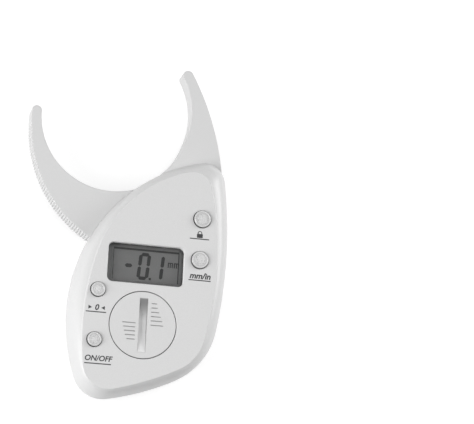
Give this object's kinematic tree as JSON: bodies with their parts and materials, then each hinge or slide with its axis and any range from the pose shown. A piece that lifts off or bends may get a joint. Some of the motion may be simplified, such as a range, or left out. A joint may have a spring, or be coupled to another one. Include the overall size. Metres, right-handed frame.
{
  "type": "skinfold caliper",
  "caption": "Digital skinfold caliper: a rounded flat housing with display, buttons and coin-cell cover, a fixed curved jaw and a hinged curved jaw.",
  "frame": {"origin": "on the jaw pivot's axis, in the flat rear face", "axes": "+X to the reader's right and +Y towards the jaw tips as the display is read, +Z out of the front face; the object lies on its back"},
  "size_m": [0.0866, 0.1434, 0.023],
  "materials": {
    "shell": "silver-white moulded plastic, satin",
    "jaw": "light grey moulded plastic, satin",
    "button": "silver-white, dimpled crown",
    "steel": "bright steel",
    "bearing": "natural acetal",
    "board": "green solder mask",
    "copper": "plated copper",
    "display": "reflective liquid crystal display",
    "dark_plastic": "black moulded plastic",
    "elastomer": "conductive elastomer strip",
    "window": "clear moulded window",
    "contact": "plated spring strip"
  },
  "bodies": {
    "housing": {"front_shell": "shell", "rear_shell": "shell", "fixed_jaw": "jaw", "pivot_pin": "steel", "pivot_washer": "bearing", "hub_spacer": "bearing", "return_spring": "steel", "encoder_stator": "copper", "circuit_board": "board", "controller_chip": "dark_plastic", "lcd_glass": "display", "lcd_frame": "dark_plastic", "lcd_connector": "elastomer", "window_lens": "window", "switch_hold": "dark_plastic", "switch_units": "dark_plastic", "switch_zero": "dark_plastic", "switch_power": "dark_plastic", "battery_cell": "steel", "battery_holder": "dark_plastic", "contact_plus": "contact", "contact_minus": "contact", "case_screw_top": "steel", "case_screw_flank": "steel", "case_screw_brow": "steel", "case_screw_hip": "steel", "case_screw_heel": "steel", "board_screw_top": "steel", "board_screw_hip": "steel", "board_screw_heel": "steel"},
    "jaw": {"moving_jaw": "jaw", "encoder_rotor": "copper"},
    "cover": {"battery_cover": "shell"},
    "press_hold": {"button_hold": "button", "plunger_hold": "dark_plastic"},
    "press_units": {"button_units": "button", "plunger_units": "dark_plastic"},
    "press_zero": {"button_zero": "button", "plunger_zero": "dark_plastic"},
    "press_power": {"button_power": "button", "plunger_power": "dark_plastic"}
  },
  "joints": [
    {"name": "jaw_pivot", "type": "hinge", "parent": "housing", "child": "jaw", "pos_m": [0, 0, 0.0105], "axis": [0, 0, 1], "range_deg": [-53.5, 0], "stiffness_Nm_per_rad": 0.03, "springref_deg": 20.05, "deforming": ["return_spring"]},
    {"name": "cover_turn", "type": "hinge", "parent": "housing", "child": "cover", "pos_m": [-0.0045, -0.0422, 0.0211], "axis": [0, 0, 1], "range_deg": [0, 40]},
    {"name": "button_hold_press", "type": "slide", "parent": "housing", "child": "press_hold", "axis": [0, 0, 1], "range_m": [-0.0003, 0], "stiffness_N_per_m": 2000, "springref_m": 0.0002},
    {"name": "button_units_press", "type": "slide", "parent": "housing", "child": "press_units", "axis": [0, 0, 1], "range_m": [-0.0003, 0], "stiffness_N_per_m": 2000, "springref_m": 0.0002},
    {"name": "button_zero_press", "type": "slide", "parent": "housing", "child": "press_zero", "axis": [0, 0, 1], "range_m": [-0.0003, 0], "stiffness_N_per_m": 2000, "springref_m": 0.0002},
    {"name": "button_power_press", "type": "slide", "parent": "housing", "child": "press_power", "axis": [0, 0, 1], "range_m": [-0.0003, 0], "stiffness_N_per_m": 2000, "springref_m": 0.0002}
  ]
}
